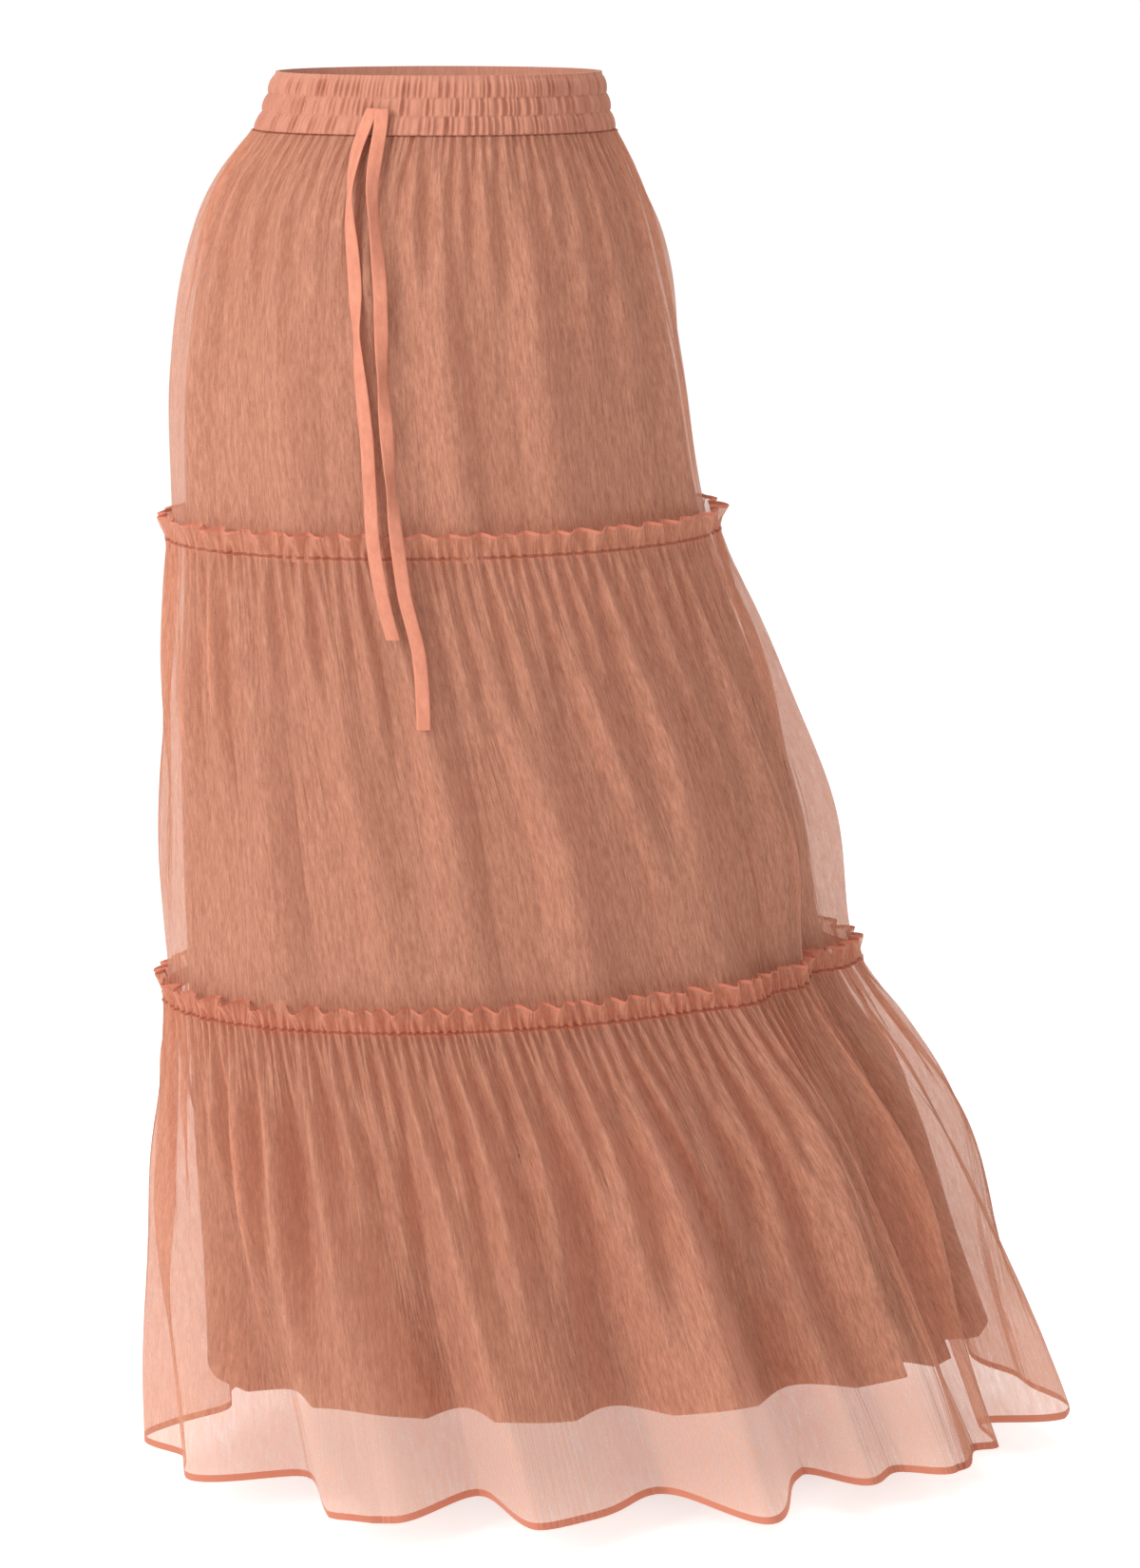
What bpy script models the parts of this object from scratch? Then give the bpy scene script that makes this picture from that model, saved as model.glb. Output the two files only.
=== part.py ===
"""Tiered ruffle skirt, floor length, worn and swung out to the wearer's left.

A ruched elastic waistband in three channels, a top tier gathered into it, and
two more tiers, each gathered along a stitched line over the tier above so that
a small ruffled header stands above the line.  An opaque lining hangs from the
waistband and stops short of the hem, and a flat self-fabric drawstring leaves
the middle channel at the centre front.

Metres, +Z up.  The origin is in the middle of the waistband, where the waist
holds the skirt.  The centre front faces -Y and the wearer's left is +X.

The form is worked out in the stride frame: p runs across the stride to the
side that the skirt swings to, q runs to the back.  The stride is turned by
STANCE about Z from the centre front.
"""

import bpy
import numpy as np
from math import cos, pi, radians, sin

# ---------------------------------------------------------------- sizes
WALL = 0.0012          # cloth wall of one tier
GAP = 0.0003           # between pieces at a seam
UNDER = 0.0016         # a tier's outer face inside the tier sewn over it
LAP = 0.011            # how far a tier runs on under the next gathered line
HEADER = 0.017         # height of the ruffled header above its stitched line
BAND_TOP = 0.020
BAND_LOW = -0.020
LINE_1 = -0.330        # first gathered line
LINE_2 = -0.690        # second gathered line
HEM = -1.045
LINING_HEM = -0.985
STANCE = radians(18.0)
CENTRE_FRONT = -18.0   # degrees round the form, 0 is straight ahead in the stride
SIDE_LEFT = CENTRE_FRONT + 90.0
SIDE_RIGHT = CENTRE_FRONT - 90.0
HALF = 30              # wall strips in a front or a back

# height, left and right reach, front, widest and back depth, lean of the ring
SECTIONS = [
    # z       left    right   front   mid     back   skew
    (0.022, -0.122, 0.124, -0.098, 0.000, 0.098, 0.00),
    (-0.018, -0.138, 0.133, -0.104, 0.000, 0.108, 0.00),
    (-0.060, -0.170, 0.154, -0.113, 0.002, 0.126, 0.03),
    (-0.120, -0.189, 0.172, -0.119, 0.004, 0.140, 0.05),
    (-0.200, -0.204, 0.190, -0.122, 0.004, 0.146, 0.07),
    (-0.330, -0.208, 0.214, -0.127, 0.004, 0.140, 0.10),
    (-0.450, -0.214, 0.258, -0.134, 0.006, 0.142, 0.14),
    (-0.560, -0.215, 0.295, -0.140, 0.010, 0.150, 0.17),
    (-0.690, -0.216, 0.325, -0.146, 0.015, 0.160, 0.20),
    (-0.800, -0.219, 0.396, -0.180, 0.005, 0.180, 0.17),
    (-0.920, -0.217, 0.442, -0.212, -0.018, 0.195, 0.13),
    (-1.045, -0.216, 0.490, -0.240, -0.040, 0.205, 0.10),
]

# the largest folds: where each starts and ends round the form, its height
# range, its half width in degrees, and how far it stands out (or in, below 0)
FOLDS = [
    # top    low    z_top   z_low   width  depth
    (-75.0, -64.0, -0.700, -1.045, 7.0, 0.012),
    (-62.0, -48.0, -0.720, -1.045, 7.0, -0.014),
    (-50.0, -33.0, -0.720, -1.045, 6.0, 0.014),
    (-33.0, -26.0, -0.740, -1.045, 5.0, 0.014),
    (-24.0, -17.0, -0.720, -1.045, 5.5, -0.016),
    (-15.0, -8.0, -0.700, -1.045, 6.5, 0.018),
    (0.0, 4.0, -0.720, -1.045, 7.0, -0.012),
    (11.0, 17.0, -0.700, -1.045, 7.0, 0.014),
    (26.0, 31.0, -0.700, -1.045, 7.0, -0.014),
    (40.0, 46.0, -0.560, -1.045, 6.0, 0.016),
    (50.0, 52.0, -0.640, -1.045, 4.5, -0.016),
    (58.0, 58.0, -0.760, -1.045, 4.5, 0.014),
    (68.0, 68.0, -0.450, -1.045, 6.0, -0.013),
    (86.0, 88.0, -0.480, -1.045, 9.0, 0.012),
    (106.0, 108.0, -0.640, -1.045, 8.0, -0.014),
    (124.0, 128.0, -0.700, -1.045, 8.0, 0.015),
    (142.0, 146.0, -0.720, -1.045, 7.0, -0.013),
    (158.0, 163.0, -0.700, -1.045, 8.0, 0.014),
    (178.0, 180.0, -0.720, -1.045, 8.0, -0.013),
    (200.0, 197.0, -0.700, -1.045, 8.0, 0.015),
    (218.0, 214.0, -0.740, -1.045, 7.0, -0.012),
    (236.0, 232.0, -0.700, -1.045, 8.0, 0.013),
    (256.0, 256.0, -0.720, -1.045, 8.0, -0.012),
    (272.0, 276.0, -0.720, -1.045, 7.0, 0.010),
]

# soft pleats below each gathered edge: the edge, the next line, how many go
# round, and their depth where they are deepest
GATHERS = [
    # edge     next    count  depth
    (BAND_LOW, LINE_1, 19, 0.0016),
    (LINE_1, LINE_2, 20, 0.0028),
    (LINE_2, HEM, 20, 0.0036),
]

# the drawstring's two free ends: height, degrees round the form, how far off
# the cloth, and how far the flat tie is turned on its own length
TIE_RIGHT = [
    # z       deg     lift    turn
    (0.0015, -18.6, 0.0042, 0),
    (-0.0040, -19.6, 0.0052, 5),
    (-0.0258, -21.2, 0.0044, 10),
    (-0.0610, -18.4, 0.0042, 60),
    (-0.0985, -16.6, 0.0040, 15),
    (-0.1302, -15.4, 0.0040, 5),
    (-0.1621, -14.6, 0.0042, 60),
    (-0.2081, -13.5, 0.0040, 15),
    (-0.2432, -12.8, 0.0040, 5),
    (-0.2850, -12.8, 0.0080, 10),
    (-0.3100, -12.9, 0.0130, 10),
    (-0.3265, -12.7, 0.0125, 10),
    (-0.3633, -12.1, 0.0058, 0),
    (-0.3911, -11.1, 0.0046, 0),
]
TIE_LEFT = [
    (0.0015, -16.2, 0.0066, 0),
    (-0.0040, -15.4, 0.0074, -5),
    (-0.0258, -14.9, 0.0060, -10),
    (-0.0779, -11.5, 0.0044, -55),
    (-0.0985, -10.6, 0.0042, -40),
    (-0.1303, -9.6, 0.0040, -10),
    (-0.1622, -9.2, 0.0040, -10),
    (-0.1971, -9.0, 0.0042, -60),
    (-0.2313, -8.6, 0.0040, -10),
    (-0.2784, -8.4, 0.0070, -60),
    (-0.3050, -8.2, 0.0128, -20),
    (-0.3250, -8.0, 0.0125, -10),
    (-0.3571, -7.9, 0.0060, 0),
    (-0.3959, -6.7, 0.0044, 0),
    (-0.4209, -7.0, 0.0042, 0),
    (-0.4590, -8.0, 0.0042, 0),
]
TIE_WIDTH = 0.0105
TIE_THICK = 0.0012

CORAL = (0.58, 0.235, 0.15, 1.0)
CORAL_DARK = (0.42, 0.17, 0.11, 1.0)
TAUPE = (0.30, 0.14, 0.09, 1.0)


# ---------------------------------------------------------------- the form
def ease(t):
    t = np.clip(t, 0.0, 1.0)
    return t * t * (3.0 - 2.0 * t)


def section(z):
    """The ring at a height, on a smooth curve through the table's rows."""
    rows = np.array(SECTIONS)[::-1]
    zs, vals = rows[:, 0], rows[:, 1:]
    step = np.diff(zs)[:, None]
    rise = np.diff(vals, axis=0) / step
    slope = np.vstack([rise[:1], (rise[:-1] * step[1:] + rise[1:] * step[:-1]) / (step[1:] + step[:-1]), rise[-1:]])
    z = float(np.clip(z, zs[0], zs[-1]))
    i = int(np.clip(np.searchsorted(zs, z) - 1, 0, len(zs) - 2))
    h = zs[i + 1] - zs[i]
    t = (z - zs[i]) / h
    return (
        vals[i] * (2 * t**3 - 3 * t**2 + 1)
        + vals[i + 1] * (3 * t**2 - 2 * t**3)
        + slope[i] * h * (t**3 - 2 * t**2 + t)
        + slope[i + 1] * h * (t**3 - t**2)
    )


def ring(deg, z):
    """The plain form: p and q at an angle round it."""
    left, right, front, mid, back, skew = section(z)
    a = radians(deg)
    half = 0.5 * (right - left)
    p = half * sin(a)
    deep = (mid - front) if cos(a) > 0 else (back - mid)
    return np.array([0.5 * (left + right) + p, mid - deep * cos(a) + skew * p])


def outward(deg, z):
    along = ring(deg + 0.5, z) - ring(deg - 0.5, z)
    n = np.array([along[1], -along[0]])
    return n / np.linalg.norm(n)


def fold(deg, z):
    """How far the cloth stands off the plain form, by its folds and gathers."""
    total = 0.0
    for top, low, z_top, z_low, width, depth in FOLDS:
        t = (z_top - z) / (z_top - z_low)
        if t <= 0.0:
            continue
        away = (deg - (top + (low - top) * t) + 180.0) % 360.0 - 180.0
        total += depth * float(ease(t * 1.15)) * np.exp(-((away / width) ** 2))
    for edge, after, count, depth in GATHERS:
        t = (edge - z) / (edge - after)
        if 0.0 < t < 1.0:
            swell = float(ease(t / 0.22)) * (1.0 - float(ease((t - 0.35) / 0.65)))
            total += depth * swell * cos(radians(count * deg) + 1.3 * sin(radians(3 * deg)))
    return total


def place(pq, z):
    """From the stride frame to the skirt's own."""
    p, q = pq
    return (p * cos(STANCE) - q * sin(STANCE), p * sin(STANCE) + q * cos(STANCE), z)


def cloth_point(deg, z, off):
    return place(ring(deg, z) + outward(deg, z) * (fold(deg, z) + off), z)


def lining_inset(z):
    t = (BAND_LOW - z) / (BAND_LOW - LINING_HEM)
    return 0.0032 + 0.0050 * float(ease(t / 0.2)) + 0.0140 * float(ease((t - 0.55) / 0.45))


def lining_point(deg, z, off):
    away = min(0.0, fold(deg, z)) - lining_inset(z) + off
    return place(ring(deg, z) + outward(deg, z) * away, z)


# ---------------------------------------------------------------- meshes
def finish(name, verts, faces, colour, rough=0.75):
    mesh = bpy.data.meshes.new(name)
    mesh.from_pydata([tuple(v) for v in verts], [], faces)
    mesh.validate()
    obj = bpy.data.objects.new(name, mesh)
    bpy.context.scene.collection.objects.link(obj)
    mat = bpy.data.materials.new(name)
    mat.use_nodes = True
    shader = mat.node_tree.nodes["Principled BSDF"]
    shader.inputs["Base Color"].default_value = colour
    shader.inputs["Roughness"].default_value = rough
    shader.inputs["Metallic"].default_value = 0.0
    mesh.materials.append(mat)
    mesh.shade_smooth()
    mesh.set_sharp_from_angle(angle=radians(50))
    return obj


def wall(name, point, rows, first, last, colour):
    """A closed cloth wall between two angles.  rows: (z, offset of the outer face)."""
    degs = np.linspace(first, last, HALF + 1)
    # the seam gap, taken off each end
    degs[0] += 0.06
    degs[-1] -= 0.06
    n, m = len(degs), len(rows)
    outer = [point(d, z, off(d) if callable(off) else off) for d in degs for z, off in rows]
    inner = [point(d, z, (off(d) if callable(off) else off) - WALL) for d in degs for z, off in rows]
    verts = outer + inner
    o = lambda i, j: i * m + j
    k = lambda i, j: n * m + i * m + j
    faces = []
    for i in range(n - 1):
        for j in range(m - 1):
            faces.append((o(i, j), o(i, j + 1), o(i + 1, j + 1), o(i + 1, j)))
            faces.append((k(i, j), k(i + 1, j), k(i + 1, j + 1), k(i, j + 1)))
        faces.append((o(i, 0), o(i + 1, 0), k(i + 1, 0), k(i, 0)))
        faces.append((o(i, m - 1), k(i, m - 1), k(i + 1, m - 1), o(i + 1, m - 1)))
    for j in range(m - 1):
        faces.append((o(0, j), k(0, j), k(0, j + 1), o(0, j + 1)))
        faces.append((o(n - 1, j), o(n - 1, j + 1), k(n - 1, j + 1), k(n - 1, j)))
    return finish(name, verts, faces, colour)


def rows_between(top, low, count, off_top, off_low):
    t = np.linspace(0.0, 1.0, count)
    return [(top + (low - top) * u, off_top + (off_low - off_top) * u) for u in t]


def header_rows(line):
    """The header flares from its stitched line to a waved top edge."""
    def top(deg):
        return 0.0058 + 0.0022 * cos(radians(20 * deg) + 0.8 * sin(radians(5 * deg)))
    def mid(deg):
        return 0.0036 + 0.0010 * cos(radians(20 * deg) + 0.8 * sin(radians(5 * deg)))
    return [(line + HEADER, top), (line + 0.5 * HEADER, mid), (line, 0.0)]


def waistband():
    """A closed ring: three ruched channels between stitched rows."""
    tall = BAND_TOP - BAND_LOW
    profile = [(BAND_LOW, -0.0046), (BAND_LOW, 0.0002)]
    for c in range(3):
        low = BAND_LOW + tall * c / 3.0
        profile.append((low + tall / 6.0, 0.0022))
        if c < 2:
            profile.append((low + tall / 3.0, 0.0006))
    profile += [(BAND_TOP, 0.0002), (BAND_TOP, -0.0040)]
    n, m = 2 * HALF, len(profile)
    verts, faces = [], []
    for i in range(n):
        deg = 360.0 * i / n
        ruche = 0.0005 * cos(radians(20 * deg))
        for z, off in profile:
            lift = off + (ruche if off > 0.001 else 0.0)
            verts.append(place(ring(deg, z) + outward(deg, z) * lift, z))
    for i in range(n):
        j = (i + 1) % n
        for s in range(m):
            t = (s + 1) % m
            faces.append((i * m + s, j * m + s, j * m + t, i * m + t))
    return finish("waistband", verts, faces, CORAL_DARK)


def tie(name, route):
    """A flat tie hanging in front of the cloth, turned on its own length."""
    rows = np.array(route)
    s = np.concatenate([[0.0], np.cumsum(np.abs(np.diff(rows[:, 0])))])
    fine = np.linspace(0.0, s[-1], 2 * len(rows) + 4)
    z, deg, lift, turn = (np.interp(fine, s, rows[:, c]) for c in range(4))
    verts, faces = [], []
    for a, b, c, d in zip(z, deg, lift, turn):
        ahead = outward(b, a)
        side = np.array([-ahead[1], ahead[0]])
        r = radians(d)
        wide = side * cos(r) + ahead * sin(r)
        thin = -side * sin(r) + ahead * cos(r)
        # the far edge of a turned tie stays off the cloth
        at = ring(b, a) + ahead * (fold(b, a) + c + 0.5 * TIE_WIDTH * abs(sin(r)))
        for u, v in ((-1, -1), (1, -1), (1, 1), (-1, 1)):
            verts.append(place(at + wide * u * TIE_WIDTH / 2 + thin * v * TIE_THICK / 2, a))
    n = len(z)
    for i in range(n - 1):
        for k in range(4):
            t = (k + 1) % 4
            faces.append((4 * i + k, 4 * i + t, 4 * i + 4 + t, 4 * i + 4 + k))
    faces.append((0, 3, 2, 1))
    last = 4 * (n - 1)
    faces.append((last, last + 1, last + 2, last + 3))
    return finish(name, verts, faces, CORAL)


def main():
    for obj in list(bpy.data.objects):
        bpy.data.objects.remove(obj, do_unlink=True)
    waistband()
    top = BAND_LOW - GAP
    # pieces that lie on each other have rows at the same heights
    over_1, over_2 = LINE_1 + HEADER, LINE_2 + HEADER
    hips = [top, -0.055, -0.100, -0.160, -0.235, over_1]
    tier_1 = [(z, -UNDER) for z in hips + [LINE_1, LINE_1 - LAP]]
    tier_2 = header_rows(LINE_1) + rows_between(LINE_1 - LAP, over_2, 4, 0.0, -UNDER)
    tier_2 += [(LINE_2, -UNDER), (LINE_2 - LAP, -UNDER)]
    tier_3 = header_rows(LINE_2) + rows_between(LINE_2 - LAP, HEM, 5, 0.0, 0.0)
    lining = [(z, 0.0) for z in hips[:4] + [LINE_1, LINE_2, -0.840, LINING_HEM]]
    sides = (("front", SIDE_RIGHT, SIDE_LEFT), ("back", SIDE_LEFT, SIDE_RIGHT + 360.0))
    for side, first, last in sides:
        wall("tier_1_" + side, cloth_point, tier_1, first, last, CORAL)
        wall("tier_2_" + side, cloth_point, tier_2, first, last, CORAL)
        wall("tier_3_" + side, cloth_point, tier_3, first, last, CORAL)
        wall("lining_" + side, lining_point, lining, first, last, TAUPE)
    tie("drawstring_right", TIE_RIGHT)
    tie("drawstring_left", TIE_LEFT)


main()
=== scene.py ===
"""Looks of the tiered ruffle skirt: sheer crinkle chiffon tiers with gathered
headers over an opaque lining, a ruched waistband and a flat tie."""
from math import cos, pi, radians, sin

import bpy
import numpy as np
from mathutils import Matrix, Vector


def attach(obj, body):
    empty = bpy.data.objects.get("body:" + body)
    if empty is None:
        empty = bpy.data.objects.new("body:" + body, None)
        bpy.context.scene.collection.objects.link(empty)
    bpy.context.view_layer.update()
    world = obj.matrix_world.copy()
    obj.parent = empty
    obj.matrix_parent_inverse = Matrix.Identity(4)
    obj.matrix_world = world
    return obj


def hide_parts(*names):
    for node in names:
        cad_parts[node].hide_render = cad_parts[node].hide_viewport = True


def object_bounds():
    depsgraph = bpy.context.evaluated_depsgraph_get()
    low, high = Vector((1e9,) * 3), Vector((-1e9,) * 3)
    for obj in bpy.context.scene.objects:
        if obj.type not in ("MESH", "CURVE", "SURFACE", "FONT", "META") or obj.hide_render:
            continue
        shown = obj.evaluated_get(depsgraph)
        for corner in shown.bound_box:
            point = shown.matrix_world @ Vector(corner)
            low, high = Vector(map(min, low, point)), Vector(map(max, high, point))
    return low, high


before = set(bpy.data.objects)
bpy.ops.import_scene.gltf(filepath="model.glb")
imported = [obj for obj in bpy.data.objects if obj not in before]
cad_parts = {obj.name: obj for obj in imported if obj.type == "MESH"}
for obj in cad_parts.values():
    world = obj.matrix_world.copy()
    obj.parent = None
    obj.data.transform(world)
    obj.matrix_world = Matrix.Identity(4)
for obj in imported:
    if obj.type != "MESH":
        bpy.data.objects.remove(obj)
CAD_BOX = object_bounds()

# ------------------------------------------------------------------ camera
STANCE = radians(18.0)
scene = bpy.context.scene
scene.view_settings.view_transform = "Standard"
scene.render.film_transparent = False
scene.cycles.transparent_max_bounces = 24
scene.cycles.max_bounces = 8
scene.cycles.diffuse_bounces = 3
scene.cycles.transmission_bounces = 4


def place(p, q, z):
    """From the stride frame to the skirt's own, any shape of arrays."""
    return np.stack([p * cos(STANCE) - q * sin(STANCE), p * sin(STANCE) + q * cos(STANCE), z + 0.0 * p], -1)


cam_data = bpy.data.cameras.new("camera")
cam_data.sensor_width = 36.0
cam_data.lens = 3959.0 / 1650.0 * 36.0
cam = bpy.data.objects.new("camera", cam_data)
scene.collection.objects.link(cam)
cam.location = place(np.array(0.1003), np.array(-2.9), 0.13)
cam.rotation_euler = (radians(90.0 - 12.85), 0.0, STANCE)
cam_data.clip_end = 60.0
scene.camera = cam

# ------------------------------------------------------------------ the form
BAND_TOP, BAND_LOW = 0.020, -0.020
LINE_1, LINE_2, HEM, LINING_HEM = -0.330, -0.690, -1.045, -0.985
HEADER, LAP, UNDER = 0.019, 0.004, 0.0022
CENTRE_FRONT = -18.0
SIDE_RIGHT = CENTRE_FRONT - 90.0

SECTIONS = np.array([
    # z       left    right   front   mid     back   skew
    (0.022, -0.122, 0.124, -0.098, 0.000, 0.098, 0.00),
    (-0.018, -0.138, 0.133, -0.104, 0.000, 0.108, 0.00),
    (-0.060, -0.170, 0.154, -0.113, 0.002, 0.126, 0.03),
    (-0.120, -0.189, 0.172, -0.119, 0.004, 0.140, 0.05),
    (-0.200, -0.204, 0.190, -0.122, 0.004, 0.146, 0.07),
    (-0.330, -0.208, 0.214, -0.127, 0.004, 0.140, 0.10),
    (-0.450, -0.214, 0.258, -0.134, 0.006, 0.142, 0.14),
    (-0.560, -0.215, 0.295, -0.140, 0.010, 0.150, 0.17),
    (-0.690, -0.216, 0.325, -0.146, 0.015, 0.160, 0.20),
    (-0.800, -0.219, 0.396, -0.180, 0.005, 0.180, 0.17),
    (-0.920, -0.217, 0.442, -0.212, -0.018, 0.195, 0.13),
    (-1.045, -0.216, 0.490, -0.240, -0.040, 0.205, 0.10),
])[::-1]

FOLDS = [
    # top    low    z_top   z_low   width  depth   (tier 3, then tier 2)
    (-75.0, -64.0, -0.700, -1.045, 7.0, 0.016),
    (-62.0, -49.0, -0.720, -1.045, 7.0, -0.018),
    (-50.0, -35.0, -0.720, -1.045, 5.0, 0.020),
    (-33.0, -26.0, -0.740, -1.045, 4.0, 0.018),
    (-24.0, -17.0, -0.720, -1.045, 5.5, -0.020),
    (-15.0, -8.0, -0.700, -1.045, 6.5, 0.024),
    (0.0, 4.0, -0.720, -1.045, 7.0, -0.016),
    (11.0, 17.0, -0.700, -1.045, 7.0, 0.016),
    (26.0, 31.0, -0.700, -1.045, 7.0, -0.018),
    (40.0, 46.0, -0.560, -1.045, 6.0, 0.022),
    (50.0, 52.0, -0.600, -1.045, 4.0, -0.022),
    (58.0, 58.0, -0.740, -1.045, 4.0, 0.018),
    (68.0, 68.0, -0.450, -1.045, 6.0, -0.018),
    (86.0, 88.0, -0.480, -1.045, 8.0, 0.014),
    (106.0, 108.0, -0.640, -1.045, 8.0, -0.018),
    (124.0, 128.0, -0.700, -1.045, 8.0, 0.018),
    (142.0, 146.0, -0.720, -1.045, 7.0, -0.017),
    (158.0, 163.0, -0.700, -1.045, 8.0, 0.018),
    (178.0, 180.0, -0.720, -1.045, 8.0, -0.017),
    (200.0, 197.0, -0.700, -1.045, 8.0, 0.019),
    (218.0, 214.0, -0.740, -1.045, 7.0, -0.016),
    (236.0, 232.0, -0.700, -1.045, 8.0, 0.017),
    (256.0, 256.0, -0.720, -1.045, 8.0, -0.016),
    (272.0, 276.0, -0.720, -1.045, 7.0, 0.012),
]

# how far a column of cloth travels round the form from a tier's top to its
# hem: angle at the top, degrees gained by the bottom
DRIFT_3 = [(-90, 3), (-75, 5), (-62, 6), (-50, 6), (-33, 5), (-15, 5), (0, 4), (11, 5), (40, 6), (50, 2),
           (58, 0), (90, 2), (124, 4), (158, 4), (180, 2), (200, -3), (236, -4), (258, 2)]
DRIFT_2 = [(-90, 2), (-40, 4), (0, 5), (40, 6), (70, 3), (110, 0), (180, -2), (230, -2)]
DRIFT_1 = [(-90, 0), (180, 0)]


def ease(t):
    t = np.clip(t, 0.0, 1.0)
    return t * t * (3.0 - 2.0 * t)


def section(z):
    zs, vals = SECTIONS[:, 0], SECTIONS[:, 1:]
    step = np.diff(zs)[:, None]
    rise = np.diff(vals, axis=0) / step
    slope = np.vstack([rise[:1], (rise[:-1] * step[1:] + rise[1:] * step[:-1]) / (step[1:] + step[:-1]), rise[-1:]])
    z = np.clip(z, zs[0], zs[-1])
    i = np.clip(np.searchsorted(zs, z) - 1, 0, len(zs) - 2)
    h = (zs[i + 1] - zs[i])[..., None]
    t = (z - zs[i])[..., None] / h
    out = (vals[i] * (2 * t**3 - 3 * t**2 + 1) + vals[i + 1] * (3 * t**2 - 2 * t**3)
           + slope[i] * h * (t**3 - 2 * t**2 + t) + slope[i + 1] * h * (t**3 - t**2))
    return np.moveaxis(out, -1, 0)


def ring(deg, z):
    """p and q of the plain form; deg and z are arrays of one shape."""
    left, right, front, mid, back, skew = section(z)
    a = np.radians(deg)
    p = 0.5 * (right - left) * np.sin(a)
    deep = np.where(np.cos(a) > 0, mid - front, back - mid)
    return np.stack([0.5 * (left + right) + p, mid - deep * np.cos(a) + skew * p], -1)


def outward(deg, z):
    along = ring(deg + 0.5, z) - ring(deg - 0.5, z)
    n = np.stack([along[..., 1], -along[..., 0]], -1)
    return n / np.linalg.norm(n, axis=-1, keepdims=True)


def folds(deg, z):
    total = np.zeros_like(deg)
    for top, low, z_top, z_low, width, depth in FOLDS:
        t = (z_top - z) / (z_top - z_low)
        away = (deg - (top + (low - top) * t) + 180.0) % 360.0 - 180.0
        total += depth * (1.6 if depth > 0 else 2.1) * ease(t * 1.15) * np.exp(-((away / width) ** 2)) * (t > 0)
    return total


def even_angles(z, share):
    """Angles at the given shares of the way round the form, from the right side seam."""
    deg = SIDE_RIGHT + np.linspace(0.0, 360.0, 1441)
    at = ring(deg, np.full_like(deg, z))
    s = np.concatenate([[0.0], np.cumsum(np.linalg.norm(np.diff(at, axis=0), axis=1))])
    return np.interp(share, s / s[-1], deg), s[-1]


def drift_at(table, deg):
    xs = np.array([a for a, _ in table], float)
    ys = np.array([b for _, b in table], float)
    xs = np.concatenate([xs - 360, xs, xs + 360])
    ys = np.concatenate([ys, ys, ys])
    return np.interp(deg, xs, ys)


# ------------------------------------------------------------------ waves
def band_noise(rng, count, waves, spread=0.22):
    """Smooth noise round a closed row, about this many waves, unit height."""
    k = np.arange(count // 2 + 1)
    amp = np.exp(-(((k - waves) / (spread * waves + 0.6)) ** 2))
    amp[0] = 0.0
    spec = amp * np.exp(2j * pi * rng.random(len(k)))
    f = np.fft.irfft(spec, count)
    return f / (f.std() * 1.414)


def row_length(P):
    return np.linalg.norm(np.roll(P, -1, axis=1) - P, axis=-1).sum(axis=1)


def relax(X, rest_h, rest_v, fixed, base, normal, low, steps, bend_h, bend_v, pull=0.0, drop=0.0):
    """Pulls a closed cloth tube towards its own lengths, smooths it as bending
    does, and keeps it outside what lies under it."""
    free = (~fixed)[:, None, None].astype(X.dtype)
    target = X.copy()
    rest_d = np.sqrt((0.5 * (rest_h[1:] + rest_h[:-1])) ** 2 + (0.5 * (rest_v + np.roll(rest_v, -1, 1))) ** 2)
    wa = np.where(fixed[:-1], 0.0, np.where(fixed[1:], 1.0, 0.5))[:, None, None].astype(X.dtype)
    wb = np.where(fixed[1:], 0.0, np.where(fixed[:-1], 1.0, 0.5))[:, None, None].astype(X.dtype)
    for it in range(steps):
        for _ in range(2):
            d = np.roll(X, -1, 1) - X
            l = np.sqrt(np.einsum("ijk,ijk->ij", d, d)) + 1e-9
            c = d * (0.5 * (1.0 - rest_h / l))[..., None]
            X = X + 0.8 * free * (c - np.roll(c, 1, 1))
        for s in (1, -1):
            b = np.roll(X, -s, 1)
            d = b[1:] - X[:-1]
            l = np.sqrt(np.einsum("ijk,ijk->ij", d, d)) + 1e-9
            r = rest_d if s == 1 else np.roll(rest_d, 1, 1)
            c = d * (0.12 * (1.0 - r / l))[..., None]
            X[:-1] += c * free[:-1]
            X[1:] -= np.roll(c, s, 1) * free[1:]
        d = X[1:] - X[:-1]
        l = np.sqrt(np.einsum("ijk,ijk->ij", d, d)) + 1e-9
        c = d * (0.8 * (1.0 - rest_v / l))[..., None]
        X[:-1] += c * wa
        X[1:] -= c * wb
        if bend_h:
            X = X + free * bend_h * (0.5 * (np.roll(X, -1, 1) + np.roll(X, 1, 1)) - X)
        if bend_v:
            m = 0.5 * (X[2:] + X[:-2]) - X[1:-1]
            X[1:-1] += free[1:-1] * bend_v * m
        if pull:
            X = X + free * pull * (target - X)
        if drop:
            X[..., 2] -= free[..., 0] * drop
        s = np.einsum("ijk,ijk->ij", X - base, normal)
        X = X + normal * (np.maximum(low - s, 0.0) * free[..., 0])[..., None]
    return X


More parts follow.
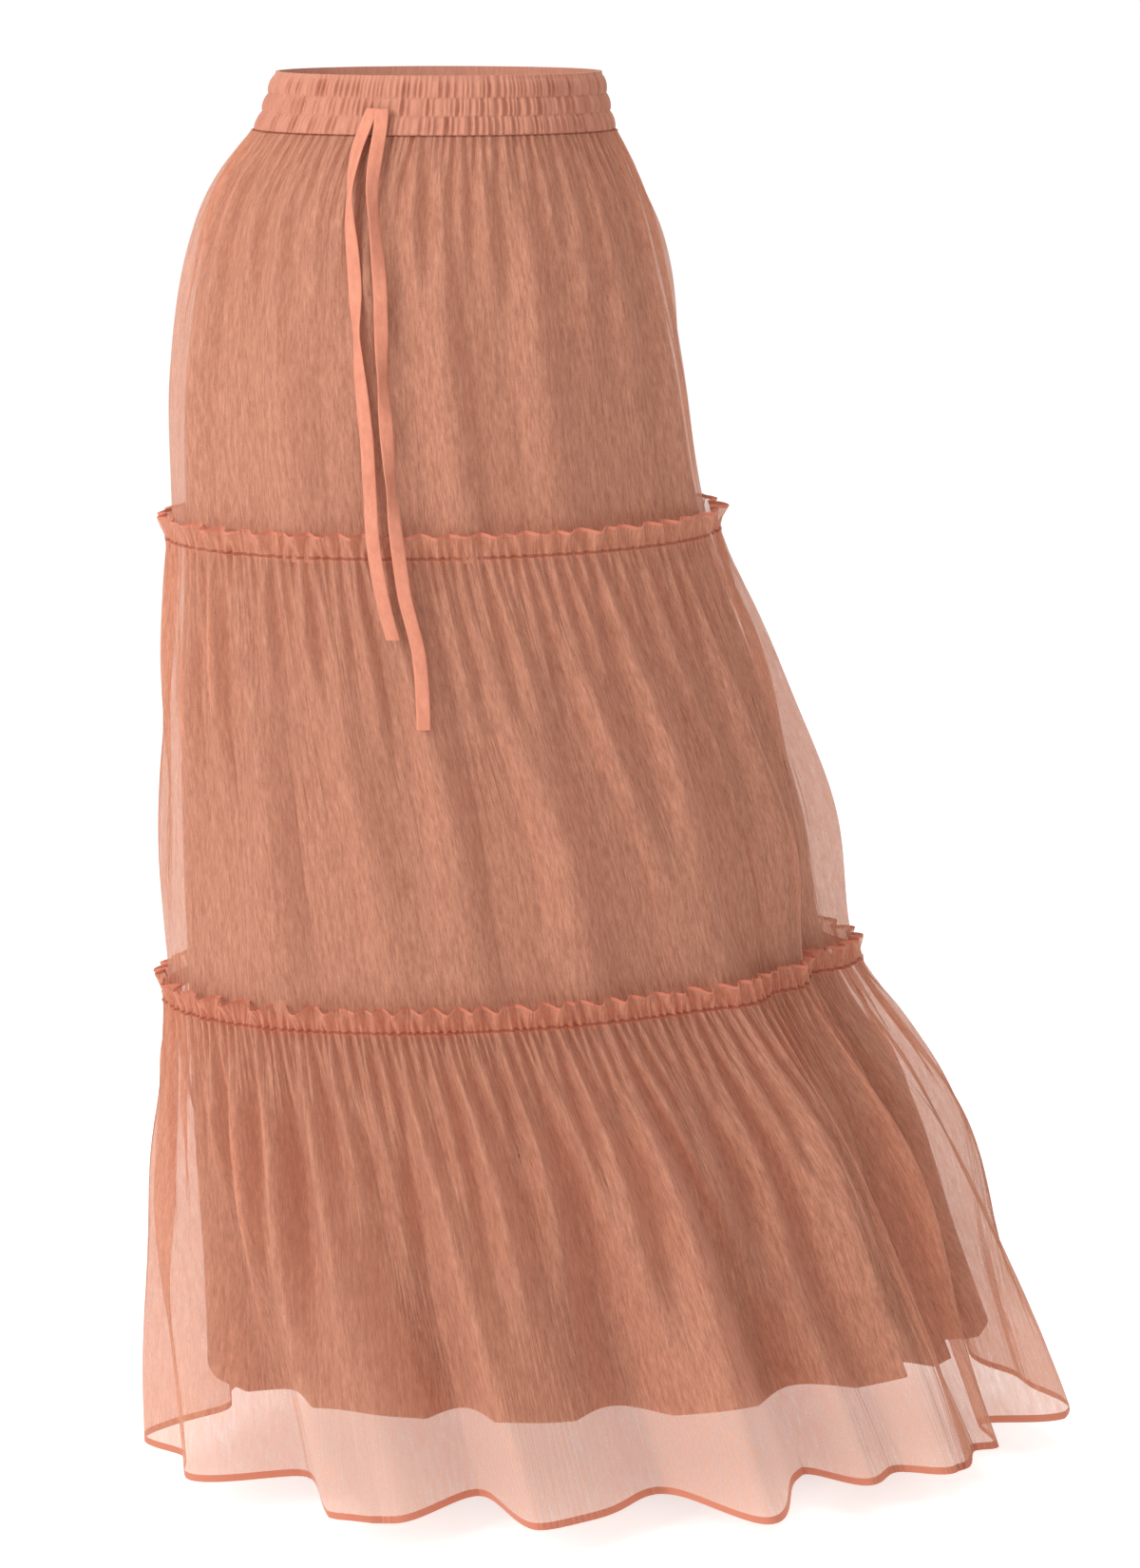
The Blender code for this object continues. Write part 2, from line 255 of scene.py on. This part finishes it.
def upsample(X, rows, cols):
    """A finer grid through a coarse one: Fourier round, smooth curves down."""
    ny, nx, _ = X.shape
    F = np.fft.rfft(X, axis=1)
    G = np.zeros((ny, cols // 2 + 1, 3), complex)
    G[:, : F.shape[1]] = F
    Y = np.fft.irfft(G, cols, axis=1) * (cols / nx)
    t = np.linspace(0, ny - 1, rows)
    i = np.clip(t.astype(int), 0, ny - 2)
    f = (t - i)[:, None, None]
    a = Y[np.clip(i - 1, 0, ny - 1)]
    b, c = Y[i], Y[i + 1]
    d = Y[np.clip(i + 2, 0, ny - 1)]
    return 0.5 * (2 * b + (c - a) * f + (2 * a - 5 * b + 4 * c - d) * f**2 + (3 * b - a - 3 * c + d) * f**3)


def tier(seed, width, v_rows, line, low_z, drift, wave_of, seam_off, floor_off, end_row, top_pinned, use_folds, cols):
    """One gathered tier as a closed tube of cloth.

    v_rows: distance down from the gathered line, negative up in the header.
    Returns positions (rows, cols, 3), and the base points and normals."""
    rng = np.random.default_rng(seed)
    share = np.arange(cols) / cols
    top_deg, round_top = even_angles(line, share)
    low_deg, round_low = even_angles(low_z, share)
    v = np.asarray(v_rows)[:, None] + 0.0 * share[None, :]
    length = max(v_rows)
    t = np.clip(v / length, 0.0, 1.0)
    deg = top_deg + (low_deg - top_deg) * ease(t) + drift_at(drift, top_deg)[None, :] * t
    z = line - np.where(v < 0, v, (line - low_z) * t)
    at, out = ring(deg, z), outward(deg, z)
    base = place(at[..., 0], at[..., 1], z)
    normal = place(out[..., 0], out[..., 1], 0.0 * z)
    # waves of every size, each strongest where the gathers have opened to it
    lams = 0.0085 * 1.42 ** np.arange(9)
    star = wave_of(np.asarray(v_rows))
    waves = np.zeros_like(z)
    for lam in lams:
        w = np.exp(-((np.log(lam / star) / 0.42) ** 2))[:, None]
        waves += w * lam * band_noise(rng, cols, width / lam)[None, :]
    hand = folds(deg, z) if use_folds else np.zeros_like(z)
    # each row's waves are scaled until the row is as long as the cloth is wide
    off0 = np.interp(v_rows, *seam_off)[:, None]
    # a tier that is sewn to the next one lies flat along that seam
    wide = np.full(len(v_rows), width)
    if end_row is not None:
        wide += (round_low * 1.003 - width) * ease((np.asarray(v_rows) - (length - LAP - 0.13)) / 0.13)
    lo, hi = np.zeros(len(v_rows)), np.full(len(v_rows), 1.4)
    for _ in range(18):
        mid = 0.5 * (lo + hi)
        P = base + normal * (off0 + hand + waves * mid[:, None])[..., None]
        long = row_length(P) > wide
        hi = np.where(long, mid, hi)
        lo = np.where(long, lo, mid)
    g = np.convolve(np.pad(lo, 2, mode="edge"), np.ones(5) / 5, mode="valid")
    X = base + normal * (off0 + hand + waves * g[:, None])[..., None]
    return X, base, normal, deg, z, wide


# ------------------------------------------------------------------ the tiers
WIDE = {}


def make_tiers():
    out = {}
    fine = 1

    # tier 1: pinned at the waistband and at the first line
    L1 = BAND_LOW - LINE_1 + LAP
    v1 = np.concatenate([np.linspace(0, 0.03, 10), np.linspace(0.035, L1, 52)])
    cols1 = 1040 // fine
    W1 = 1.16
    X, B, N, deg, z, wide = tier(11, W1, v1, BAND_LOW, LINE_1 - LAP, DRIFT_1,
                           lambda v: 0.010 + 0.34 * np.minimum(v, 0.22),
                           ([0, 0.02, L1 - LAP - 0.01, L1], [0.0002, 0.0005, -UNDER, -UNDER]), None, "sewn", True, False, cols1)
    out["tier_1"] = (X, B, N, deg, z, v1, W1)
    WIDE["tier_1"] = wide

    L2 = LINE_1 - LINE_2 + LAP
    v2 = np.concatenate([np.linspace(-HEADER, -0.0022, 9), np.linspace(0, 0.03, 11), np.linspace(0.034, L2, 60)])
    cols2 = 1440 // fine
    W2 = 1.66
    X, B, N, deg, z, wide = tier(22, W2, v2, LINE_1, LINE_2 - LAP, DRIFT_2,
                           lambda v: np.where(v < 0, 0.011 + 1.25 * -v, 0.011 + 0.36 * np.minimum(v, 0.26)),
                           ([-HEADER, 0, 0.02, L2 - LAP - 0.01, L2], [0.0085, 0.0022, 0.002, -UNDER, -UNDER]), None, "sewn", True, True, cols2)
    out["tier_2"] = (X, B, N, deg, z, v2, W2)
    WIDE["tier_2"] = wide

    L3 = LINE_2 - HEM
    v3 = np.concatenate([np.linspace(-HEADER, -0.0022, 9), np.linspace(0, 0.03, 11), np.linspace(0.034, L3, 66)])
    cols3 = 2000 // fine
    W3 = 2.56
    X, B, N, deg, z, wide = tier(33, W3, v3, LINE_2, HEM, DRIFT_3,
                           lambda v: np.where(v < 0, 0.012 + 1.35 * -v, 0.012 + 0.42 * np.minimum(v, 0.30)),
                           ([-HEADER, 0, 0.02, L3], [0.0085, 0.0024, 0.002, 0.0]), None, None, True, True, cols3)
    out["tier_3"] = (X, B, N, deg, z, v3, W3)
    WIDE["tier_3"] = wide
    return out


def grid_object(name, X, uv, closed=False):
    """A mesh from a grid of points (rows, cols), with a UV map in metres."""
    ny, nx, _ = X.shape
    idx = np.arange(ny * nx).reshape(ny, nx)
    if closed:
        right = np.roll(idx, -1, 1)
        a, b, c, d = idx[:-1], right[:-1], right[1:], idx[1:]
    else:
        a, b, c, d = idx[:-1, :-1], idx[:-1, 1:], idx[1:, 1:], idx[1:, :-1]
    # rows run down and columns run round to +p, so this order faces out
    faces = np.stack([a, d, c, b], -1).reshape(-1, 4)
    mesh = bpy.data.meshes.new(name)
    mesh.vertices.add(ny * nx)
    mesh.vertices.foreach_set("co", X.reshape(-1).astype(np.float32))
    mesh.loops.add(faces.size)
    mesh.loops.foreach_set("vertex_index", faces.reshape(-1).astype(np.int32))
    mesh.polygons.add(len(faces))
    mesh.polygons.foreach_set("loop_start", np.arange(0, faces.size, 4, dtype=np.int32))
    mesh.polygons.foreach_set("loop_total", np.full(len(faces), 4, dtype=np.int32))
    layer = mesh.uv_layers.new(name="UVMap")
    U = uv.reshape(-1, 2)[faces.reshape(-1)]
    if closed:
        # the last column's right edge runs on, not back to the start
        du = U.reshape(-1, 4, 2)[..., 0]
        wide = du.max(1) - du.min(1) > 0.5 * uv[..., 0].max()
        fix = du[wide]
        fix[fix < 0.5 * uv[..., 0].max()] += uv[0, 1, 0] * nx
        U = U.reshape(-1, 4, 2)
        U[wide, :, 0] = fix
        U = U.reshape(-1, 2)
    layer.data.foreach_set("uv", U.reshape(-1).astype(np.float32))
    mesh.update(calc_edges=True)
    mesh.validate()
    mesh.shade_smooth()
    obj = bpy.data.objects.new(name, mesh)
    scene.collection.objects.link(obj)
    return obj


# ------------------------------------------------------------------ materials
def nodes_of(name):
    mat = bpy.data.materials.new(name)
    mat.use_nodes = True
    nt = mat.node_tree
    for n in list(nt.nodes):
        nt.nodes.remove(n)
    return mat, nt


def add(nt, kind, **props):
    n = nt.nodes.new(kind)
    for k, v in props.items():
        if k in n.inputs.keys():
            n.inputs[k].default_value = v
        else:
            setattr(n, k, v)
    return n


def cloth_material(name, light, dark, cover, sheer=True, rib=1.0, tint=(1.0, 0.90, 0.86), translucent=0.3, edges=False):
    """Crinkle cloth: upright ribs, a fine grain and small bright specks, the specks painted glints of shimmer in the
    base colour.
    """
    mat, nt = nodes_of(name)
    L = nt.links
    uv = add(nt, "ShaderNodeUVMap", uv_map="UVMap")
    # ribs: long upright streaks about 1.5 to 3 mm wide
    m1 = add(nt, "ShaderNodeMapping")
    m1.inputs["Scale"].default_value = (760.0 * rib, 120.0 * rib, 1.0)
    n1 = add(nt, "ShaderNodeTexNoise", Scale=1.0, Detail=2.0, Roughness=0.6)
    m2 = add(nt, "ShaderNodeMapping")
    m2.inputs["Scale"].default_value = (280.0 * rib, 42.0 * rib, 1.0)
    n2 = add(nt, "ShaderNodeTexNoise", Scale=1.0, Detail=2.0, Roughness=0.55)
    # fine grain about 1 mm across: random tone, and its bright specks are painted glints that lighten the base colour
    m3 = add(nt, "ShaderNodeMapping")
    m3.inputs["Scale"].default_value = (1100.0, 900.0, 1.0)
    grain_and_painted_glints = add(nt, "ShaderNodeTexNoise", Scale=1.0, Detail=1.0, Roughness=0.5)
    for m, n in ((m1, n1), (m2, n2), (m3, grain_and_painted_glints)):
        L.new(uv.outputs["UV"], m.inputs["Vector"])
        L.new(m.outputs["Vector"], n.inputs["Vector"])
    s1 = add(nt, "ShaderNodeMath", operation="ADD")
    L.new(n1.outputs["Fac"], s1.inputs[0])
    L.new(n2.outputs["Fac"], s1.inputs[1])
    s2 = add(nt, "ShaderNodeMath", operation="MULTIPLY_ADD")
    s2.inputs[1].default_value = 0.42
    L.new(s1.outputs[0], s2.inputs[0])
    # the fine grain, painted glints included, adds a little to the rib tone
    half = add(nt, "ShaderNodeMath", operation="MULTIPLY")
    half.inputs[1].default_value = 0.16
    L.new(grain_and_painted_glints.outputs["Fac"], half.inputs[0])
    L.new(half.outputs[0], s2.inputs[2])  # about 0.5 on average
    tone = add(nt, "ShaderNodeMapRange")
    tone.inputs["From Min"].default_value = 0.36
    tone.inputs["From Max"].default_value = 0.64
    L.new(s2.outputs[0], tone.inputs["Value"])
    ramp = add(nt, "ShaderNodeMix", data_type="RGBA")
    ramp.inputs["A"].default_value = (*dark, 1.0)
    ramp.inputs["B"].default_value = (*light, 1.0)
    L.new(tone.outputs["Result"], ramp.inputs["Factor"])
    colour = ramp.outputs["Result"]
    rim = None
    if edges:
        # rolled edge of the header and of the hem, and the gathered stitch line
        parts = add(nt, "ShaderNodeSeparateXYZ")
        L.new(uv.outputs["UV"], parts.inputs[0])
        masks = []
        for op, limit in (("GREATER_THAN", 0.0163), ("LESS_THAN", -0.3496)):
            m = add(nt, "ShaderNodeMath", operation=op)
            m.inputs[1].default_value = limit
            L.new(parts.outputs["Y"], m.inputs[0])
            masks.append(m)
        rim = add(nt, "ShaderNodeMath", operation="MAXIMUM")
        L.new(masks[0].outputs[0], rim.inputs[0])
        L.new(masks[1].outputs[0], rim.inputs[1])
        size_y = add(nt, "ShaderNodeMath", operation="ABSOLUTE")
        L.new(parts.outputs["Y"], size_y.inputs[0])
        stitch = add(nt, "ShaderNodeMath", operation="LESS_THAN")
        stitch.inputs[1].default_value = 0.0012
        L.new(size_y.outputs[0], stitch.inputs[0])
        for mask, tone_c in ((rim, (0.62, 0.22, 0.14)), (stitch, (0.42, 0.14, 0.085))):
            mc = add(nt, "ShaderNodeMix", data_type="RGBA")
            mc.inputs["B"].default_value = (*tone_c, 1.0)
            L.new(mask.outputs[0], mc.inputs["Factor"])
            L.new(colour, mc.inputs["A"])
            colour = mc.outputs["Result"]
    bump = add(nt, "ShaderNodeBump", Strength=0.35, Distance=0.0006)
    L.new(s2.outputs[0], bump.inputs["Height"])
    pr = add(nt, "ShaderNodeBsdfPrincipled", Roughness=0.62)
    pr.inputs["Specular IOR Level"].default_value = 0.25
    pr.inputs["Sheen Weight"].default_value = 0.35
    pr.inputs["Sheen Roughness"].default_value = 0.45
    pr.inputs["Sheen Tint"].default_value = (1.0, 0.72, 0.6, 1.0)
    L.new(colour, pr.inputs["Base Color"])
    L.new(bump.outputs["Normal"], pr.inputs["Normal"])
    shader = pr.outputs[0]
    if translucent:
        tr = add(nt, "ShaderNodeBsdfTranslucent")
        L.new(colour, tr.inputs["Color"])
        mix = add(nt, "ShaderNodeMixShader", Fac=translucent)
        L.new(shader, mix.inputs[1])
        L.new(tr.outputs[0], mix.inputs[2])
        shader = mix.outputs[0]
    if sheer:
        clear = add(nt, "ShaderNodeBsdfTransparent")
        clear.inputs["Color"].default_value = (*tint, 1.0)
        thick = add(nt, "ShaderNodeMapRange")
        thick.inputs["From Min"].default_value = 0.36
        thick.inputs["From Max"].default_value = 0.64
        thick.inputs["To Min"].default_value = max(0.0, cover - 0.16)
        thick.inputs["To Max"].default_value = min(1.0, cover + 0.16)
        L.new(s2.outputs[0], thick.inputs["Value"])
        mix = add(nt, "ShaderNodeMixShader")
        amount = thick.outputs["Result"]
        if rim:
            most = add(nt, "ShaderNodeMath", operation="MAXIMUM")
            L.new(amount, most.inputs[0])
            L.new(rim.outputs[0], most.inputs[1])
            amount = most.outputs[0]
        L.new(amount, mix.inputs["Fac"])
        L.new(clear.outputs[0], mix.inputs[1])
        L.new(shader, mix.inputs[2])
        shader = mix.outputs[0]
    o = add(nt, "ShaderNodeOutputMaterial")
    L.new(shader, o.inputs["Surface"])
    return mat


CORAL_LIGHT, CORAL_DARK = (0.752, 0.373, 0.243), (0.629, 0.281, 0.180)
M_CHIFFON = cloth_material("chiffon", CORAL_LIGHT, CORAL_DARK, 0.54, edges=True)
M_SOLID = cloth_material("chiffon_doubled", (0.70, 0.275, 0.175), (0.56, 0.20, 0.125), 1.0, sheer=False, translucent=0.12)
M_LINING = cloth_material("lining", (0.376, 0.198, 0.144), (0.323, 0.166, 0.119), 1.0, sheer=False, rib=1.6, translucent=0.08)
M_BAND = cloth_material("ruched_band", (0.56, 0.235, 0.155), (0.42, 0.165, 0.105), 1.0, sheer=False, rib=1.0, translucent=0.05)

PIECES = []


def wear(obj, node_names, material):
    obj.data.materials.append(material)
    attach(obj, "root")
    if node_names:
        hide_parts(*node_names)
    PIECES.append(obj)
    return obj


# ------------------------------------------------------------------ build
tiers = make_tiers()


def settle(name, steps, bend_h, bend_v, pull, fixed_fn, low):
    X, B, N, deg, z, v, W = tiers[name]
    rest_h = (WIDE[name] / X.shape[1])[:, None]
    low = low + (np.minimum(folds(deg, z), 0.0) * 0.9 if name != "tier_1" else 0.0)
    P = B
    rest_v = np.linalg.norm(P[1:] - P[:-1], axis=-1)
    X = relax(X.astype(np.float32), rest_h.astype(np.float32), rest_v.astype(np.float32), fixed_fn(v),
              B.astype(np.float32), N.astype(np.float32), np.asarray(low, np.float32), steps, bend_h, bend_v, pull)
    # nothing stands far out of the skirt's own box
    for k in (0, 1):
        lo, hi = CAD_BOX[0][k] - 0.010, CAD_BOX[1][k] + 0.010
        X[..., k] = np.where(X[..., k] > hi, hi + 0.3 * (X[..., k] - hi), X[..., k])
        X[..., k] = np.where(X[..., k] < lo, lo + 0.3 * (X[..., k] - lo), X[..., k])
    tiers[name] = (X, B, N, deg, z, v, W)


import time
T0 = time.time()
STEPS = 120
settle("tier_1", STEPS, 0.05, 0.15, 0.004, lambda v: (v < 1e-6) | (v > v.max() - LAP - 1e-6), -0.004)
settle("tier_2", STEPS, 0.04, 0.15, 0.004, lambda v: (np.abs(v) < 1e-6) | (v > v.max() - LAP - 1e-6), -0.004)
settle("tier_3", STEPS, 0.03, 0.15, 0.003, lambda v: np.abs(v) < 1e-6, -0.020)
print("settled in", round(time.time() - T0, 1))

for name in ("tier_1", "tier_2", "tier_3"):
    X, B, N, deg, z, v, W = tiers[name]
    cols = X.shape[1]
    half = cols // 2
    ring_X = np.concatenate([X, X[:, :1]], axis=1)
    u = np.linspace(0, W, cols + 1)
    uv = np.stack(np.broadcast_arrays(u[None, :], -np.asarray(v)[:, None]), -1)
    for side, a, b in (("front", 0, half), ("back", half, cols)):
        obj = grid_object(f"{name}_{side}_cloth", ring_X[:, a : b + 1], uv[:, a : b + 1])
        wear(obj, [f"{name}_{side}"], M_CHIFFON)

# lining
def make_lining():
    cols, rows = 560, 70
    share = np.arange(cols) / cols
    z = np.linspace(BAND_LOW - 0.001, LINING_HEM, rows)[:, None] + 0 * share[None, :]
    d0, _ = even_angles(-0.2, share)
    deg = d0[None, :] + 0 * z
    t = (BAND_LOW - z) / (BAND_LOW - LINING_HEM)
    inset = 0.0045 + 0.0050 * ease(t / 0.2) + 0.0140 * ease((t - 0.55) / 0.45)
    rng = np.random.default_rng(5)
    soft = sum(band_noise(rng, cols, k)[None, :] * a for k, a in ((9, 0.5), (15, 0.35), (23, 0.2)))
    off = np.minimum(0, folds(deg, z)) * 0.8 - inset + soft * 0.004 * ease(t / 0.5) - 0.002 * ease(t)
    at, n = ring(deg, z), outward(deg, z)
    P = at + n * off[..., None]
    X = place(P[..., 0], P[..., 1], z)
    ring_X = np.concatenate([X, X[:, :1]], axis=1)
    u = np.linspace(0, 1.3, cols + 1)
    uv = np.stack(np.broadcast_arrays(u[None, :], z[:, :1]), -1)
    for side, a, b in (("front", 0, cols // 2), ("back", cols // 2, cols)):
        obj = grid_object(f"lining_{side}_cloth", ring_X[:, a : b + 1], uv[:, a : b + 1])
        wear(obj, [f"lining_{side}"], M_LINING)


make_lining()

# ------------------------------------------------------------------ waistband
def make_band():
    cols, rows = 1200, 56
    rng = np.random.default_rng(8)
    share = np.arange(cols) / cols
    zz = np.linspace(BAND_TOP + 0.003, BAND_LOW, rows)
    z = zz[:, None] + 0 * share[None, :]
    deg = SIDE_RIGHT + 360 * share[None, :] + 0 * z
    at, n = ring(deg, z), outward(deg, z)
    c = (BAND_TOP - z) / (BAND_TOP - BAND_LOW) * 3.0
    ch = np.clip(c.astype(int), 0, 2)
    f = np.clip(c - ch, 0, 1)
    swell = np.sin(pi * f) ** 0.6
    pleat = np.zeros_like(z)
    for k in range(3):
        fn = sum(band_noise(rng, cols, w) * a for w, a in ((48, 0.6), (80, 0.5), (130, 0.3)))
        fn = -np.abs(fn) ** 0.8
        pleat = np.where(ch == k, fn[None, :], pleat)
    off = 0.0008 + 0.0022 * swell + pleat * 0.0034 * (0.35 + 0.65 * swell)
    P = at + n * off[..., None]
    X = place(P[..., 0], P[..., 1], z)
    inner = at[[-1, 0]] - n[[-1, 0]] * 0.0030
    I = place(inner[..., 0], inner[..., 1], z[[-1, 0]])
    X = np.concatenate([X, I, X[:1]], axis=0)
    u = 1.2 * share
    v = np.concatenate([-zz, [-zz[-1] + 0.003, -zz[-1] + 0.045], [-zz[-1] + 0.05]])
    uv = np.stack(np.broadcast_arrays(u[None, :], v[:, None]), -1)
    obj = grid_object("waistband_cloth", X, uv, closed=True)
    wear(obj, ["waistband"], M_BAND)


make_band()

# ------------------------------------------------------------------ ties
TIE_RIGHT = [
    (0.0015, -18.6, 0.0042, 0), (-0.0040, -19.6, 0.0052, 5), (-0.0258, -21.2, 0.0044, 10),
    (-0.0610, -18.4, 0.0042, 60), (-0.0985, -16.6, 0.0040, 15), (-0.1302, -15.4, 0.0040, 5),
    (-0.1621, -14.6, 0.0042, 60), (-0.2081, -13.5, 0.0040, 15), (-0.2432, -12.8, 0.0040, 5),
    (-0.2850, -12.8, 0.0080, 10), (-0.3100, -12.9, 0.0130, 10), (-0.3265, -12.7, 0.0125, 10),
    (-0.3633, -12.1, 0.0058, 0), (-0.3911, -11.1, 0.0046, 0)]
TIE_LEFT = [
    (0.0015, -16.2, 0.0066, 0), (-0.0040, -15.4, 0.0074, -5), (-0.0258, -14.9, 0.0060, -10),
    (-0.0779, -11.5, 0.0044, -55), (-0.0985, -10.6, 0.0042, -40), (-0.1303, -9.6, 0.0040, -10),
    (-0.1622, -9.2, 0.0040, -10), (-0.1971, -9.0, 0.0042, -60), (-0.2313, -8.6, 0.0040, -10),
    (-0.2784, -8.4, 0.0070, -60), (-0.3050, -8.2, 0.0128, -20), (-0.3250, -8.0, 0.0125, -10),
    (-0.3571, -7.9, 0.0060, 0), (-0.3959, -6.7, 0.0044, 0), (-0.4209, -7.0, 0.0042, 0), (-0.4590, -8.0, 0.0042, 0)]
TIE_WIDTH = 0.0105


def make_tie(name, route):
    rows = np.array(route)
    s = np.concatenate([[0.0], np.cumsum(np.abs(np.diff(rows[:, 0])))])
    n = 150
    fine = np.linspace(0, s[-1], n)

    def smooth(c):
        y = np.interp(fine, s, rows[:, c])
        k = np.hanning(11)
        return np.convolve(np.pad(y, 5, mode="edge"), k / k.sum(), mode="valid")

    z, deg, lift, turn = (smooth(c) for c in range(4))
    lift = lift + 0.006 * ease((LINE_1 + 0.03 - z) / 0.04)  # over the gathers of tier 2
    at, out = ring(deg, z), outward(deg, z)
    r = np.radians(turn)
    side = np.stack([-out[:, 1], out[:, 0]], -1)
    c = at + out * (lift + folds(deg, z) + 0.5 * TIE_WIDTH * np.abs(np.sin(r)))[:, None]
    wide = side * np.cos(r)[:, None] + out * np.sin(r)[:, None]
    thin = -side * np.sin(r)[:, None] + out * np.cos(r)[:, None]
    prof = []
    m = 14
    for k in range(m):
        a = 2 * pi * k / m
        x, y = cos(a), sin(a)
        prof.append((np.sign(x) * abs(x) ** 0.5 * TIE_WIDTH / 2, np.sign(y) * abs(y) ** 0.7 * 0.0007))
    G = np.zeros((n, m, 3))
    for k, (x, y) in enumerate(prof):
        pt = c + wide * x + thin * y
        G[:, k] = place(pt[:, 0], pt[:, 1], z)
    cap0, cap1 = G[:1].mean(1, keepdims=True) + 0 * G[:1], G[-1:].mean(1, keepdims=True) + 0 * G[-1:]
    G = np.concatenate([cap0, G, cap1])
    u = np.linspace(0, 0.024, m + 1)[:-1]
    v = np.concatenate([[0], np.linspace(0, s[-1], n), [s[-1]]])
    uv = np.stack(np.broadcast_arrays(u[None, :], v[:, None]), -1)
    obj = grid_object(name + "_cloth", G[:, ::-1], uv, closed=True)
    wear(obj, [name], M_SOLID)


make_tie("drawstring_right", TIE_RIGHT)
make_tie("drawstring_left", TIE_LEFT)

# ------------------------------------------------------------------ stage
FLOOR_Z = -1.075
mesh = bpy.data.meshes.new("floor")
S = 14.0
mesh.from_pydata([(-S, -S, FLOOR_Z), (S, -S, FLOOR_Z), (S, S, FLOOR_Z), (-S, S, FLOOR_Z)], [], [(0, 1, 2, 3)])
floor = bpy.data.objects.new("floor", mesh)
scene.collection.objects.link(floor)
mat, nt = nodes_of("floor")
pr = add(nt, "ShaderNodeBsdfPrincipled", Roughness=0.16)
pr.inputs["Base Color"].default_value = (0.93, 0.93, 0.93, 1.0)
pr.inputs["Emission Color"].default_value = (1.0, 1.0, 1.0, 1.0)
pr.inputs["Emission Strength"].default_value = 0.52
pr.inputs["Specular IOR Level"].default_value = 0.5
o = add(nt, "ShaderNodeOutputMaterial")
nt.links.new(pr.outputs[0], o.inputs["Surface"])
mesh.materials.append(mat)

world = bpy.data.worlds.new("world")
scene.world = world
world.use_nodes = True
nt = world.node_tree
for n in list(nt.nodes):
    nt.nodes.remove(n)
bg = add(nt, "ShaderNodeBackground")
bg.inputs["Color"].default_value = (1, 1, 1, 1)
bg.inputs["Strength"].default_value = 0.49
bg2 = add(nt, "ShaderNodeBackground")
bg2.inputs["Color"].default_value = (1, 1, 1, 1)
bg2.inputs["Strength"].default_value = 1.05
lp = add(nt, "ShaderNodeLightPath")
mx = add(nt, "ShaderNodeMixShader")
o = add(nt, "ShaderNodeOutputWorld")
nt.links.new(lp.outputs["Is Camera Ray"], mx.inputs["Fac"])
nt.links.new(bg.outputs[0], mx.inputs[1])
nt.links.new(bg2.outputs[0], mx.inputs[2])
nt.links.new(mx.outputs[0], o.inputs["Surface"])


def lamp(name, where, aim, size, power):
    data = bpy.data.lights.new(name, "AREA")
    data.shape = "RECTANGLE"
    data.size, data.size_y = size
    data.energy = power
    obj = bpy.data.objects.new(name, data)
    scene.collection.objects.link(obj)
    from mathutils import Vector
    loc = Vector(place(*[np.array(float(c)) for c in where]))
    tgt = Vector(place(*[np.array(float(c)) for c in aim]))
    obj.location = loc
    obj.rotation_euler = (tgt - loc).to_track_quat("-Z", "Y").to_euler()
    return obj


lamp("key", (-2.6, -2.4, 0.9), (0.0, 0.0, -0.5), (1.6, 2.2), 106)
lamp("top", (0.3, -0.4, 2.4), (0.3, 0.2, -1.0), (3.5, 3.5), 60)
